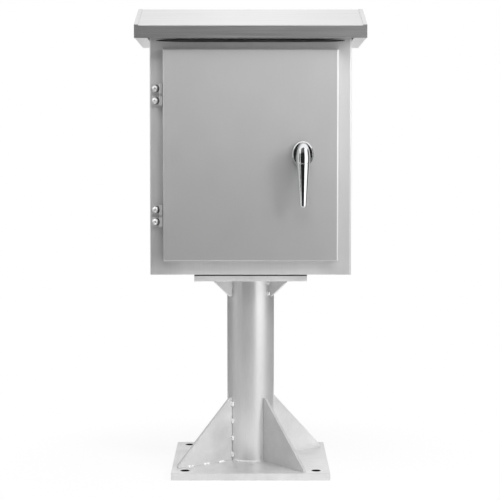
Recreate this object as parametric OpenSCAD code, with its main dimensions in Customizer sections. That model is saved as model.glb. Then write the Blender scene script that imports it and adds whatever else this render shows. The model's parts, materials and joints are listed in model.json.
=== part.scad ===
// Outdoor electrical box: a folded stainless cabinet with a rain hood and a hinged door,
// carried on a welded round post with a gusseted base plate.
// Millimetres, +Z up. The origin is the middle of the underside of the base plate.
// The door faces -Y, and +X is on the right of someone who stands in front of it.

/* [Pedestal] */
// Side of the square base plate
base_w = 315; // [305:2:400]
// Thickness of the base plate
base_t = 14; // [8:1:20]
// Distance of each anchor hole from the two nearest plate edges
anchor_edge = 27; // [22:1:36]
// Diameter of the anchor holes
anchor_hole_d = 18; // [12:1:24]
// Outside diameter of the post
post_d = 96; // [90:1:110]
// Wall of the post
post_wall = 3; // [2:0.5:5]
// Length of the post between its two plates
post_h = 374; // [250:2:700]
// Diameter of the cable way through the plates and the cabinet floor
cable_hole_d = 80; // [60:1:82]
// Thickness of every gusset
gusset_t = 6; // [4:1:10]
// Height of the base gussets on the post
base_gusset_h = 130; // [80:2:180]
// Distance of a base gusset's toe from the plate edge
base_gusset_edge = 11; // [6:0.5:20]
// Turn of the first base gusset from straight ahead
base_gusset_turn = 36; // [30:1:40]
// Height of the blunt toe and width of the blunt tip of a gusset
gusset_nose = 5; // [3:1:8]
// Root gap left for the welds
weld_gap = 0.2; // [0.1:0.1:0.4]

/* [Top plate] */
// Width of the top plate
top_plate_w = 226; // [210:2:280]
// Depth of the top plate
top_plate_d = 170; // [156:2:190]
// Thickness of the top plate
top_plate_t = 12; // [8:1:16]
// Height of the top gussets on the post
top_gusset_h = 36; // [24:1:60]
// Reach of the top gussets from the post
top_gusset_reach = 42; // [30:1:46]
// Turn of the top gussets from straight ahead
top_gusset_turn = 53; // [45:1:58]
// Thickness of the rubber flange gasket
gasket_t = 3; // [2:0.5:6]
// Distance of the gasket's rim from the plate edge
gasket_inset = 3; // [1:1:8]
// Distance of the flange bolts from the plate edges
flange_bolt_edge = 25; // [20:1:28]
// Thread diameter of the flange bolts
flange_bolt_d = 10; // [8:1:12]

/* [Cabinet] */
// Width of the cabinet
cabinet_w = 400; // [340:5:560]
// Depth of the cabinet
cabinet_d = 200; // [196:2:300]
// Height of the cabinet
cabinet_h = 500; // [420:5:700]
// Sheet thickness of the cabinet, the door and the hood
sheet_t = 1.5; // [1:0.1:2]
// Outside radius of the cabinet's front bends
cabinet_bend_r = 3; // [2.2:0.1:5]
// Height of the turned-out rain lip round the door opening
rain_lip = 12; // [8:0.5:14]

/* [Door] */
// Frame left showing at each side of the door
door_side_margin = 27; // [26:0.5:40]
// Frame left showing below the door
door_bottom_margin = 29; // [20:1:60]
// Frame from the door's top edge up to the cabinet top
door_top_margin = 53; // [50:1:80]
// Depth of the door pan
door_d = 18; // [17:0.5:24]
// Gap between the door pan and the frame
door_gap = 2; // [1:0.5:3]
// Outside radius of the door's bends
door_bend_r = 2.4; // [2:0.2:6]
// How far the door laps over the opening
door_lap = 13; // [12:0.5:18]
// Width of the foam seal
seal_w = 12; // [8:1:14]
// Clearance between the seal and the rain lip
seal_clear = 0.3; // [0.2:0.1:0.5]

/* [Hinges] */
// Distance between the two hinges
hinge_spacing = 240; // [160:5:300]
// Height of one hinge
hinge_h = 42; // [40:1:52]
// Width of the hinge pads on the frame
hinge_pad_w = 16; // [15.5:0.5:17]
// Thickness of the hinge pads
hinge_pad_t = 4.5; // [3:0.5:5]
// Outside diameter of the hinge barrels
hinge_barrel_d = 8; // [7:0.5:8.5]
// Diameter of the hinge pins
hinge_pin_d = 4; // [3:0.5:5]
// Distance of the hinge axis in front of the frame
hinge_out = 10; // [9.5:0.5:11]
// Gap between the barrels and the door's side
hinge_door_gap = 0.6; // [0.5:0.1:1]
// Height of the door lug between the two knuckles
hinge_lug_h = 5; // [4:0.5:8]
// Gap between the lug and each knuckle
hinge_gap = 0.4; // [0.3:0.1:0.8]
// Radial clearance of pins and shafts in their bores
running_fit = 0.06; // [0.03:0.01:0.1]
// Distance of each hinge bolt from the middle of the hinge
hinge_bolt_offset = 12; // [11.5:0.5:13]
// Diameter of the hinge bolt heads
hinge_head_d = 13; // [10:0.5:13.5]
// Height of the hinge bolt heads
hinge_head_h = 4; // [3:0.5:4.5]
// Thread diameter of the hinge bolts
hinge_bolt_d = 6; // [4:1:8]

/* [Rain hood] */
// Overhang of the hood at each side
hood_side_over = 27.5; // [15:0.5:60]
// Overhang of the hood at the front
hood_over = 45; // [32:1:80]
// Overhang of the hood at the rear
hood_rear_over = 32; // [32:1:60]
// Height of the front fascia
hood_fascia = 24; // [16:1:40]
// Extra drop of the rear fascia
hood_rear_drop = 10; // [0:0.5:25]
// Slope of the hood's two roof faces
hood_slope = 15.5; // [15.5:0.5:24]
// Height of the eaves below the cabinet top
hood_eave_drop = 6.4; // [0:0.2:6.6]
// Gap between the hood's soffit and the cabinet
hood_gap = 3; // [1:0.5:6]
// Width of the lip under the front fascia
hood_lip = 6; // [4:0.5:20]
// Outside radius of the hood's bends
hood_bend_r = 4; // [3:0.5:8]
// Width of the folded rim at each end of the hood
hood_rim_w = 8; // [4:0.5:14]
// Height of the folded rims on the slopes
hood_rim_t = 1.2; // [0.6:0.1:2]
// Distance of each hood bracket from the cabinet's side
bracket_edge = 70; // [50:2:100]
// Width of a bracket's foot
bracket_foot = 30; // [24:1:40]
// Length of a bracket from front to back
bracket_len = 140; // [110:5:160]
// Thickness of the brackets
bracket_t = 2; // [1.5:0.5:3]
// Thread diameter of the hood bolts
hood_bolt_d = 6; // [5:1:8]

/* [Lock and handle] */
// Distance of the lock from the door's free edge
lock_inset = 70; // [60:1:78]
// Height of the lock above the middle of the door
lock_raise = 2.5; // [-20:0.5:20]
// Width of the oval rosette
rosette_w = 42; // [38:1:60]
// Length of the oval rosette, up and down
rosette_len = 52; // [44:1:64]
// Height of the rosette on its washer
rosette_h = 8; // [6:0.5:12]
// Chamfer round the rosette
rosette_edge = 2; // [1:0.5:3]
// Thickness of the rubber washer under the rosette
lock_washer_t = 1; // [0.5:0.1:2]
// Diameter of the threaded lock barrel
lock_barrel_d = 21; // [18:0.5:22]
// Width of the lock nut across its flats
lock_nut_w = 30; // [28:1:34]
// Thickness of the lock nut
lock_nut_t = 7; // [5:0.5:9]
// Space for the fingers between the door and the lever
lever_standoff = 28; // [25:1:36]
// Distance from the lock axis to the lever's tip
lever_len = 103; // [85:1:130]
// Length of the lever's head above its widest line
lever_head_len = 32; // [26:1:36]
// Width of the lever at its head
lever_head_w = 27.6; // [26:0.2:30]
// Width of the lever at its tip
lever_tip_w = 14.5; // [10:0.5:18]
// Chamfer round the lever's blunt tip
tip_chamfer = 2; // [1:0.5:3]
// Depth of the lever behind its widest line
lever_skirt = 3; // [2:0.5:4]
// Height of the lever's head above the lock axis
lever_rise = 24; // [20:0.5:26]
// Drop of the cap's lower edge below the lock axis
cap_seam = 17.2; // [16:0.2:24]
// Wall of the dust cap
cap_wall = 1.8; // [1.2:0.1:2.2]
// Gap between the dust cap and the lever
cap_gap = 0.3; // [0.2:0.1:0.5]
// Diameter of the lever's hub
hub_d = 26; // [24:0.5:27]
// Diameter of the key plug
plug_d = 11; // [9:0.5:12]
// Diameter of the spindle
spindle_d = 10; // [9:0.5:11]
// Length of the latch cam from the lock axis
cam_len = 70; // [66:1:84]
// Width of the latch cam at its eye
cam_w = 20; // [17:1:24]
// Thickness of the latch cam
cam_t = 3; // [2:0.5:4]
// Clearance of the latch cam behind the frame
cam_clear = 2; // [1:0.5:4]

/* [Inside] */
// Distance of the mounting plate's rim from the cabinet's outside
plate_margin = 34; // [30:1:50]
// Thickness of the mounting plate
plate_t = 2; // [1.5:0.5:3]
// Distance of the mounting plate from the back panel
plate_standoff = 20; // [12:1:40]
// Distance of the studs from the mounting plate's rim
stud_edge = 20; // [14:1:30]
// Thread diameter of the inside studs
stud_d = 8; // [6:1:10]
// Height of the earth stud above the cabinet floor
earth_height = 60; // [40:2:120]
// Wall of the cable grommet's sleeve
grommet_wall = 5; // [3:0.5:8]

/* [Hidden] */
$fn = 64;

// Overrun of a cut past the face that it opens
over = 1;
// Radial clearance of a plain bolt hole
hole_clear = 0.5;
// Radial clearance of a nut or a tapped hole on its thread
thread_fit = 0.05;
// Gap between the hood brackets and the hood's underside
bracket_gap = 0.3;
// Thickness of a plain washer
washer_t = 2;
// Segments of each bend in the hood's outline
bend_steps = 6;

// Finishes
stainless = [0.70, 0.71, 0.72];
plate_steel = [0.78, 0.79, 0.80];
chrome = [0.86, 0.87, 0.88];
rubber = [0.08, 0.08, 0.09];
zinc = [0.74, 0.75, 0.76];
brass = [0.78, 0.62, 0.30];

// Heights of the pedestal and the cabinet
post_top = base_t + post_h;
flange_top = post_top + top_plate_t;
cabinet_z0 = flange_top + gasket_t;
cabinet_z1 = cabinet_z0 + cabinet_h;
floor_top = cabinet_z0 + sheet_t;
roof_under = cabinet_z1 - sheet_t;
post_r = post_d / 2;

// Base gussets reach from the post to near the plate's edge
base_gusset_reach = (base_w / 2 - base_gusset_edge) / cos(base_gusset_turn) - post_r - weld_gap;
anchor_at = base_w / 2 - anchor_edge;
flange_bolt_x = top_plate_w / 2 - flange_bolt_edge;
flange_bolt_y = top_plate_d / 2 - flange_bolt_edge;
flange_head_h = 0.65 * flange_bolt_d;
grommet_flange_t = 2.5;
grommet_flange_w = 7;

// Planes of the cabinet from front to back
frame_y = -cabinet_d / 2;
frame_back_y = frame_y + sheet_t;
lip_front_y = frame_y - rain_lip;
panel_y = cabinet_d / 2 - sheet_t;

// The door and its opening
door_x = cabinet_w / 2 - door_side_margin;
door_z0 = cabinet_z0 + door_bottom_margin;
door_z1 = cabinet_z1 - door_top_margin;
door_mid = (door_z0 + door_z1) / 2;
door_back_y = frame_y - door_gap;
door_front_y = door_back_y - door_d;
door_inner_y = door_front_y + sheet_t;
opening_x = door_x - door_lap;
opening_z0 = door_z0 + door_lap;
opening_z1 = door_z1 - door_lap;

// Hinge axis and hinge heights
hinge_r = hinge_barrel_d / 2;
hinge_x = -door_x - hinge_door_gap - hinge_r;
hinge_y = frame_y - hinge_out;
hinge_heights = [door_mid - hinge_spacing / 2, door_mid + hinge_spacing / 2];
hinge_pad_x1 = hinge_x - hinge_r + 0.5;
hinge_pad_x0 = hinge_pad_x1 - hinge_pad_w;
hinge_bolt_x = (hinge_pad_x0 + hinge_pad_x1) / 2 - 0.25;
hinge_pin_head_d = hinge_pin_d + 2;
hinge_pin_head_h = 1.2;
hinge_nut_w = hinge_bolt_d * 1.66;
hinge_nut_t = hinge_bolt_d * 0.8;

// Hood outline from front to back
hood_x = cabinet_w / 2 + hood_side_over;
hood_front_y = -cabinet_d / 2 - hood_over;
hood_rear_y = cabinet_d / 2 + hood_rear_over;
hood_mid_y = (hood_front_y + hood_rear_y) / 2;
hood_eave_z = cabinet_z1 - hood_eave_drop;
hood_ridge_z = hood_eave_z + (hood_mid_y - hood_front_y) * tan(hood_slope);
hood_outline = [
    [hood_front_y, hood_eave_z - hood_fascia],
    [hood_front_y, hood_eave_z],
    [hood_mid_y, hood_ridge_z],
    [hood_rear_y, hood_eave_z],
    [hood_rear_y, hood_eave_z - hood_fascia - hood_rear_drop]
];
bracket_x = cabinet_w / 2 - bracket_edge;
hood_bolt_y = bracket_len / 2 - 20;
hood_bolt_x = bracket_x + bracket_foot / 2 + bracket_t / 2;
hood_head_w = hood_bolt_d * 1.66;
hood_head_h = hood_bolt_d * 0.66;
hood_nut_t = hood_bolt_d * 0.8;

// Lock and handle, measured outwards from the door's front face
lock_x = door_x - lock_inset;
lock_z = door_mid + lock_raise;
rosette_top = lock_washer_t + rosette_h;
hub_base = rosette_top + 0.3;
lever_back = lever_standoff;
lever_axis = lever_back + lever_skirt;
head_r = lever_head_w / 2;
tip_r = lever_tip_w / 2;
head_at = lever_rise - lever_head_len;
tip_at = tip_chamfer - lever_len;
hub_r = hub_d / 2;
boss_r = plug_d / 2 + 3.5;
boss_top = lever_back + 5;
plug_bottom = hub_base + 9;
plug_slot_w = 2;
plug_slot_len = 7;
plug_slot_depth = 10;
neck_depth = 8;
neck_end = -0.57 * lever_len;
pivot_at = lever_rise - 5.5;
pivot_out = lever_back + 2.5;
pivot_eye_r = 2.2;
pivot_web_w = 5;
pivot_pin_d = 2;
pivot_ear_t = 2;
pivot_ear_r = 2.4;
pivot_relief_r = norm([lever_rise - pivot_at, pivot_out - lever_back - cap_gap]) + 0.3;

// Cam and spindle, measured the same way, so these lie behind the door's front
cam_front = door_front_y - frame_back_y - cam_clear;
cam_back = cam_front - cam_t;
barrel_end = cam_front + 0.3;
spindle_top = plug_bottom - 2;
spindle_square = spindle_d * 0.68;
cam_tip_r = 7;
cam_screw_d = 5;
cam_screw_depth = 12;
cam_flange_d = 14;
cam_flange_t = 1.5;
cam_head_w = 8;
cam_head_h = 3.5;

// Mounting plate
plate_x = cabinet_w / 2 - plate_margin;
plate_z0 = cabinet_z0 + plate_margin;
plate_z1 = cabinet_z1 - plate_margin;
plate_back_y = panel_y - plate_standoff;
plate_front_y = plate_back_y - plate_t;
plate_corner_r = 6;
stud_nut_w = stud_d * 1.625;
stud_nut_t = stud_d * 0.8;
stud_washer_d = stud_d * 2;
stud_collar_d = stud_d + 5;
stud_end_y = plate_front_y - washer_t - stud_nut_t - 4;
earth_wall_x = sheet_t - cabinet_w / 2;
earth_len = washer_t + stud_nut_t + 8;

// Direction from corner b towards point a
function towards(b, a) = (a - b) / norm(a - b);

// Half of the angle at corner b between its neighbours a and c
function half_angle(a, b, c) = acos(towards(b, a) * towards(b, c)) / 2;

// Point at the same distance d from both edges that meet in corner b
function inner_corner(a, b, c, d) =
    let (along = towards(b, a) + towards(b, c))
    b + along / norm(along) * d / sin(half_angle(a, b, c));

// Outline moved inwards by d
function inset(points, d) =
    let (n = len(points))
    [for (i = [0:n - 1]) inner_corner(points[(i + n - 1) % n], points[i], points[(i + 1) % n], d)];

// Signed turn from angle a to angle b, the short way
function short_turn(a, b) = (b - a + 540) % 360 - 180;

// Arc of radius r that rounds corner b
function corner_arc(a, b, c, r) =
    let (
        centre = inner_corner(a, b, c, r),
        reach = r / tan(half_angle(a, b, c)),
        start = b + towards(b, a) * reach - centre,
        stop = b + towards(b, c) * reach - centre,
        first = atan2(start.y, start.x),
        turn = short_turn(first, atan2(stop.y, stop.x))
    )
    [for (i = [0:bend_steps])
        let (angle = first + turn * i / bend_steps)
        centre + r * [cos(angle), sin(angle)]];

// Outline with every corner bent to radius r
function bent(points, r) =
    let (n = len(points))
    [for (i = [0:n - 1]) each corner_arc(points[(i + n - 1) % n], points[i], points[(i + 1) % n], r)];

// Radius of the lever at a height along it
function lever_r_at(y) = head_r + (tip_r - head_r) * (head_at - y) / (head_at - tip_at);

// Flat outline with all four corners rounded
module rounded_square(w, d, r) {
    square([w - 2 * r, d], center = true);
    square([w, d - 2 * r], center = true);
    for (sx = [-1, 1], sy = [-1, 1])
        translate([sx * (w / 2 - r), sy * (d / 2 - r)])
            circle(r);
}

// Plan of a bent sheet box: round front corners, square back corners
module bent_plan(half_w, front, back, r) {
    translate([-half_w, front + r])
        square([2 * half_w, back - front - r]);
    translate([r - half_w, front])
        square([2 * (half_w - r), back - front]);
    for (s = [-1, 1])
        translate([s * (half_w - r), front + r])
            circle(r);
}

// Side view of a bent sheet box: round corners at the front, up and down
module bent_side(front, back, low, high, r) {
    translate([front + r, low])
        square([back - front - r, high - low]);
    translate([front, low + r])
        square([back - front, high - low - 2 * r]);
    for (z = [low + r, high - r])
        translate([front + r, z])
            circle(r);
}

// Extrude a plan drawn in X and Z from one depth to another
module upright(front, back) {
    translate([0, back, 0])
        rotate([90, 0, 0])
            linear_extrude(back - front)
                children();
}

// Extrude a side view drawn in Y and Z across the width
module across(w) {
    rotate([90, 0, 90])
        linear_extrude(w, center = true)
            children();
}

// Box between two corners
module block(low, high) {
    translate(low)
        cube(high - low);
}

// Straight bar with six flats
module hex_bar(flats, h) {
    cylinder(d = flats / cos(30), h = h, $fn = 6);
}

// Hexagon nut or washer blank with a round hole, standing on z = 0
module hex_nut(flats, h, hole_d) {
    difference() {
        hex_bar(flats, h);
        translate([0, 0, -over])
            cylinder(d = hole_d, h = h + 2 * over);
    }
}

// Flat ring standing on z = 0
module ring(d, h, hole_d) {
    difference() {
        cylinder(d = d, h = h);
        translate([0, 0, -over])
            cylinder(d = hole_d, h = h + 2 * over);
    }
}

// Copies at the four corners of a rectangle
module at_corners(x, y) {
    for (sx = [-1, 1], sy = [-1, 1])
        translate([sx * x, sy * y, 0])
            children();
}

// Local frame of the lock: x to the right, y up, z outwards from the door's face
module at_lock() {
    translate([lock_x, door_front_y, lock_z])
        rotate([90, 0, 0])
            children();
}

// Local frame on the back panel's inside: z points to the front
module at_studs() {
    for (sx = [-1, 1], z = [plate_z0 + stud_edge, plate_z1 - stud_edge])
        translate([sx * (plate_x - stud_edge), 0, z])
            rotate([90, 0, 0])
                children();
}

// Local frames of the hinge bolts: z points to the front, from the frame's face
module at_hinge_bolts() {
    for (z = hinge_heights, s = [-1, 1])
        translate([hinge_bolt_x, frame_y, z + s * hinge_bolt_offset])
            rotate([90, 0, 0])
                children();
}

// Right-angled gusset with a blunt tip and toe, in the plane of its turn from the front
module gusset(turn, h, reach) {
    rotate([0, 0, turn - 90])
        translate([post_r + weld_gap, 0, 0])
            rotate([90, 0, 0])
                linear_extrude(gusset_t, center = true)
                    polygon([
                        [0, 0], [reach, 0], [reach, gusset_nose], [gusset_nose, h], [0, h]
                    ]);
}

module base_gusset(turn) {
    color(stainless)
        translate([0, 0, base_t])
            gusset(turn, base_gusset_h, base_gusset_reach);
}

module top_gusset(turn) {
    color(stainless)
        translate([0, 0, post_top])
            mirror([0, 0, 1])
                gusset(turn, top_gusset_h, top_gusset_reach);
}

module base_plate() {
    color(plate_steel)
        difference() {
            block([-base_w / 2, -base_w / 2, 0], [base_w / 2, base_w / 2, base_t]);
            translate([0, 0, -over])
                cylinder(d = cable_hole_d, h = base_t + 2 * over);
            at_corners(anchor_at, anchor_at)
                translate([0, 0, -over])
                    cylinder(d = anchor_hole_d, h = base_t + 2 * over);
        }
}

module post() {
    color(stainless)
        translate([0, 0, base_t])
            ring(post_d, post_h, post_d - 2 * post_wall);
}

module base_gusset_front_right() {
    base_gusset(base_gusset_turn);
}

module base_gusset_rear_right() {
    base_gusset(base_gusset_turn + 90);
}

module base_gusset_rear_left() {
    base_gusset(base_gusset_turn + 180);
}

module base_gusset_front_left() {
    base_gusset(base_gusset_turn + 270);
}

module top_plate() {
    color(plate_steel)
        translate([0, 0, post_top])
            difference() {
                block([-top_plate_w / 2, -top_plate_d / 2, 0], [top_plate_w / 2, top_plate_d / 2, top_plate_t]);
                translate([0, 0, -over])
                    cylinder(d = cable_hole_d, h = top_plate_t + 2 * over);
                at_corners(flange_bolt_x, flange_bolt_y)
                    translate([0, 0, -over])
                        cylinder(d = flange_bolt_d + 2 * thread_fit, h = top_plate_t + 2 * over);
            }
}

module top_gusset_front_right() {
    top_gusset(top_gusset_turn);
}

module top_gusset_rear_right() {
    top_gusset(180 - top_gusset_turn);
}

module top_gusset_rear_left() {
    top_gusset(180 + top_gusset_turn);
}

module top_gusset_front_left() {
    top_gusset(-top_gusset_turn);
}

module flange_gasket() {
    gasket_x = top_plate_w / 2 - gasket_inset;
    gasket_y = top_plate_d / 2 - gasket_inset;
    color(rubber)
        translate([0, 0, flange_top])
            difference() {
                block([-gasket_x, -gasket_y, 0], [gasket_x, gasket_y, gasket_t]);
                translate([0, 0, -over])
                    cylinder(d = cable_hole_d, h = gasket_t + 2 * over);
                at_corners(flange_bolt_x, flange_bolt_y)
                    translate([0, 0, -over])
                        cylinder(d = flange_bolt_d + 2 * hole_clear, h = gasket_t + 2 * over);
            }
}

module flange_washers() {
    color(zinc)
        at_corners(flange_bolt_x, flange_bolt_y)
            translate([0, 0, floor_top])
                ring(2 * flange_bolt_d, washer_t, flange_bolt_d + 2 * hole_clear);
}

module flange_bolts() {
    seat = floor_top + washer_t;
    end = post_top + 1;
    color(zinc)
        at_corners(flange_bolt_x, flange_bolt_y) {
            translate([0, 0, seat])
                hex_bar(1.6 * flange_bolt_d, flange_head_h);
            translate([0, 0, end])
                cylinder(d = flange_bolt_d, h = seat - end);
        }
}

// Folded body: floor, roof, sides and front border in one sheet, with the rain lip turned out
module cabinet_shell() {
    lip_x = opening_x + sheet_t;
    color(stainless)
        difference() {
            union() {
                translate([0, 0, cabinet_z0])
                    linear_extrude(cabinet_h)
                        bent_plan(cabinet_w / 2, frame_y, cabinet_d / 2, cabinet_bend_r);
                block([-lip_x, lip_front_y, opening_z0 - sheet_t], [lip_x, frame_back_y, opening_z1 + sheet_t]);
            }
            translate([0, 0, floor_top])
                linear_extrude(cabinet_h - 2 * sheet_t)
                    bent_plan(cabinet_w / 2 - sheet_t, frame_back_y, cabinet_d / 2 + over, cabinet_bend_r - sheet_t);
            block([-opening_x, lip_front_y - over, opening_z0], [opening_x, frame_back_y + over, opening_z1]);
            translate([0, 0, cabinet_z0 - over])
                cylinder(d = cable_hole_d, h = sheet_t + 2 * over);
            at_corners(flange_bolt_x, flange_bolt_y)
                translate([0, 0, cabinet_z0 - over])
                    cylinder(d = flange_bolt_d + 2 * hole_clear, h = sheet_t + 2 * over);
            at_corners(hood_bolt_x, hood_bolt_y)
                translate([0, 0, roof_under - over])
                    cylinder(d = hood_bolt_d + 2 * hole_clear, h = sheet_t + 2 * over);
            at_hinge_bolts()
                translate([0, 0, -sheet_t - over])
                    cylinder(d = hinge_bolt_d + 2 * hole_clear, h = sheet_t + 2 * over);
        }
}

module back_panel() {
    half_w = cabinet_w / 2 - sheet_t - weld_gap;
    color(stainless)
        block(
            [-half_w, panel_y, floor_top + weld_gap],
            [half_w, cabinet_d / 2, roof_under - weld_gap]
        );
}

// Gabled body of the hood, drawn in by the given wall
module hood_form(wall) {
    across(2 * (hood_x - wall))
        polygon(bent(inset(hood_outline, wall), hood_bend_r - wall));
}

// Folded hood: two rimmed slopes, fascias, closed ends and a soffit that is open behind the front lip
module rain_hood() {
    mouth_x = cabinet_w / 2 + hood_gap;
    mouth_top = hood_eave_z - hood_fascia / 2;
    rim_x = hood_x - hood_rim_w;
    color(stainless)
        difference() {
            union() {
                hood_form(0);
                intersection() {
                    hood_form(-hood_rim_t);
                    for (x = [-hood_x, rim_x])
                        block(
                            [x, hood_front_y, hood_eave_z - hood_bend_r],
                            [x + hood_rim_w, hood_rear_y, hood_ridge_z + 2 * hood_rim_t]
                        );
                }
            }
            hood_form(sheet_t);
            block(
                [-mouth_x, hood_front_y + hood_lip, hood_eave_z - hood_fascia - hood_rear_drop - over],
                [mouth_x, cabinet_d / 2 + hood_gap, mouth_top]
            );
        }
}

// Angle bracket: a foot on the roof and a web that follows the hood's two slopes
module hood_bracket(side) {
    drop = sheet_t / cos(hood_slope) + bracket_gap;
    web_y = bracket_len / 2;
    peak = hood_ridge_z - drop;
    front_shoulder = peak - (web_y + hood_mid_y) * tan(hood_slope);
    rear_shoulder = peak - (web_y - hood_mid_y) * tan(hood_slope);
    color(zinc)
        mirror([side < 0 ? 1 : 0, 0, 0])
            difference() {
                union() {
                    translate([bracket_x + bracket_t / 2, 0, 0])
                        across(bracket_t)
                            polygon([
                                [-web_y, cabinet_z1], [web_y, cabinet_z1], [web_y, rear_shoulder],
                                [hood_mid_y, peak], [-web_y, front_shoulder]
                            ]);
                    block(
                        [bracket_x, -web_y, cabinet_z1],
                        [bracket_x + bracket_foot, web_y, cabinet_z1 + bracket_t]
                    );
                }
                for (s = [-1, 1])
                    translate([hood_bolt_x, s * hood_bolt_y, cabinet_z1 - over])
                        cylinder(d = hood_bolt_d + 2 * hole_clear, h = bracket_t + 2 * over);
            }
}

module hood_bracket_left() {
    hood_bracket(-1);
}

module hood_bracket_right() {
    hood_bracket(1);
}

module hood_bolts() {
    seat = cabinet_z1 + bracket_t;
    end = roof_under - hood_nut_t - 2;
    color(zinc)
        at_corners(hood_bolt_x, hood_bolt_y) {
            translate([0, 0, seat])
                hex_bar(hood_head_w, hood_head_h);
            translate([0, 0, end])
                cylinder(d = hood_bolt_d, h = seat - end);
        }
}

module hood_nuts() {
    color(zinc)
        at_corners(hood_bolt_x, hood_bolt_y)
            translate([0, 0, roof_under - hood_nut_t])
                hex_nut(hood_head_w, hood_nut_t, hood_bolt_d + 2 * thread_fit);
}

module mounting_plate() {
    color(zinc)
        difference() {
            translate([0, 0, (plate_z0 + plate_z1) / 2])
                upright(plate_front_y, plate_back_y)
                    rounded_square(2 * plate_x, plate_z1 - plate_z0, plate_corner_r);
            at_studs()
                translate([0, 0, -plate_back_y - over])
                    cylinder(d = stud_d + 2 * hole_clear, h = plate_t + 2 * over);
        }
}

// Studs welded to the back panel, each with a collar that the mounting plate rests on
module mounting_studs() {
    color(zinc)
        at_studs() {
            translate([0, 0, -panel_y])
                cylinder(d = stud_collar_d, h = plate_standoff);
            translate([0, 0, -panel_y])
                cylinder(d = stud_d, h = panel_y - stud_end_y);
        }
}

module mounting_washers() {
    color(zinc)
        at_studs()
            translate([0, 0, -plate_front_y])
                ring(stud_washer_d, washer_t, stud_d + 2 * thread_fit);
}

module mounting_nuts() {
    color(zinc)
        at_studs()
            translate([0, 0, washer_t - plate_front_y])
                hex_nut(stud_nut_w, stud_nut_t, stud_d + 2 * thread_fit);
}

// Local frame of the earth stud: z points from the left wall into the cabinet
module at_earth() {
    translate([earth_wall_x, 0, floor_top + earth_height])
        rotate([0, 90, 0])
            children();
}

module earth_stud() {
    color(zinc)
        at_earth()
            cylinder(d = stud_d, h = earth_len);
}

// Flanged nut
module earth_nut() {
    color(brass)
        at_earth() {
            ring(stud_washer_d, washer_t, stud_d + 2 * thread_fit);
            translate([0, 0, washer_t])
                hex_nut(stud_nut_w, stud_nut_t, stud_d + 2 * thread_fit);
        }
}

// Rubber sleeve through the floor, with a flange that rests on it
module cable_grommet() {
    bore = cable_hole_d - 2 * hole_clear - 2 * grommet_wall;
    color(rubber) {
        translate([0, 0, flange_top])
            ring(cable_hole_d - 2 * hole_clear, floor_top - flange_top, bore);
        translate([0, 0, floor_top])
            ring(cable_hole_d + 2 * grommet_flange_w, grommet_flange_t, bore);
    }
}

// Frame half of a hinge: a bolted pad that runs into a barrel round the pin
module knuckle(low, high, bolt_z) {
    color(chrome)
        difference() {
            translate([0, 0, low])
                linear_extrude(high - low) {
                    translate([hinge_pad_x0, frame_y - hinge_pad_t])
                        square([hinge_pad_w, hinge_pad_t]);
                    translate([hinge_x - hinge_r, hinge_y])
                        square([hinge_r, hinge_out]);
                    translate([hinge_x, hinge_y])
                        circle(hinge_r);
                }
            translate([hinge_x, hinge_y, low - over])
                cylinder(d = hinge_pin_d + 2 * running_fit, h = high - low + 2 * over);
            translate([hinge_bolt_x, frame_y + over, bolt_z])
                rotate([90, 0, 0])
                    cylinder(d = hinge_bolt_d + 2 * hole_clear, h = hinge_pad_t + 2 * over);
        }
}

// Knuckle above or below the door lug of the hinge at height z
module knuckle_above(z) {
    knuckle(z + hinge_lug_h / 2 + hinge_gap, z + hinge_h / 2, z + hinge_bolt_offset);
}

module knuckle_below(z) {
    knuckle(z - hinge_h / 2, z - hinge_lug_h / 2 - hinge_gap, z - hinge_bolt_offset);
}

module upper_hinge_top_knuckle() {
    knuckle_above(hinge_heights[1]);
}

module upper_hinge_bottom_knuckle() {
    knuckle_below(hinge_heights[1]);
}

module lower_hinge_top_knuckle() {
    knuckle_above(hinge_heights[0]);
}

module lower_hinge_bottom_knuckle() {
    knuckle_below(hinge_heights[0]);
}

// Round-headed bolts with a hexagon socket
module hinge_bolts() {
    head_r_at = hinge_head_d / 2;
    dome_r = (pow(head_r_at, 2) + pow(hinge_head_h, 2)) / (2 * hinge_head_h);
    end = -sheet_t - hinge_nut_t - 1.5;
    color(chrome)
        at_hinge_bolts() {
            translate([0, 0, end])
                cylinder(d = hinge_bolt_d, h = hinge_pad_t - end);
            translate([0, 0, hinge_pad_t])
                difference() {
                    intersection() {
                        translate([0, 0, hinge_head_h - dome_r])
                            sphere(dome_r);
                        cylinder(r = head_r_at, h = hinge_head_h);
                    }
                    translate([0, 0, hinge_head_h / 2])
                        hex_bar(hinge_bolt_d * 0.66, hinge_head_h);
                }
        }
}

module hinge_nuts() {
    color(zinc)
        at_hinge_bolts()
            translate([0, 0, -sheet_t - hinge_nut_t])
                hex_nut(hinge_nut_w, hinge_nut_t, hinge_bolt_d + 2 * thread_fit);
}

// Headed pin that hangs in the upper knuckle
module hinge_pin(z) {
    color(zinc)
        translate([hinge_x, hinge_y, z]) {
            translate([0, 0, -hinge_h / 2])
                cylinder(d = hinge_pin_d, h = hinge_h);
            translate([0, 0, hinge_h / 2])
                cylinder(d = hinge_pin_head_d, h = hinge_pin_head_h);
        }
}

module upper_hinge_pin() {
    hinge_pin(hinge_heights[1]);
}

module lower_hinge_pin() {
    hinge_pin(hinge_heights[0]);
}

// Eye on the door's side that turns on the pin between two knuckles
module door_lug(z) {
    color(chrome)
        translate([hinge_x, hinge_y, z - hinge_lug_h / 2])
            difference() {
                linear_extrude(hinge_lug_h) {
                    circle(hinge_r);
                    translate([0, -hinge_r])
                        square([hinge_r + hinge_door_gap, 2 * hinge_r]);
                }
                translate([0, 0, -over])
                    cylinder(d = hinge_pin_d + 2 * running_fit, h = hinge_lug_h + 2 * over);
            }
}

module upper_door_lug() {
    door_lug(hinge_heights[1]);
}

module lower_door_lug() {
    door_lug(hinge_heights[0]);
}

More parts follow.
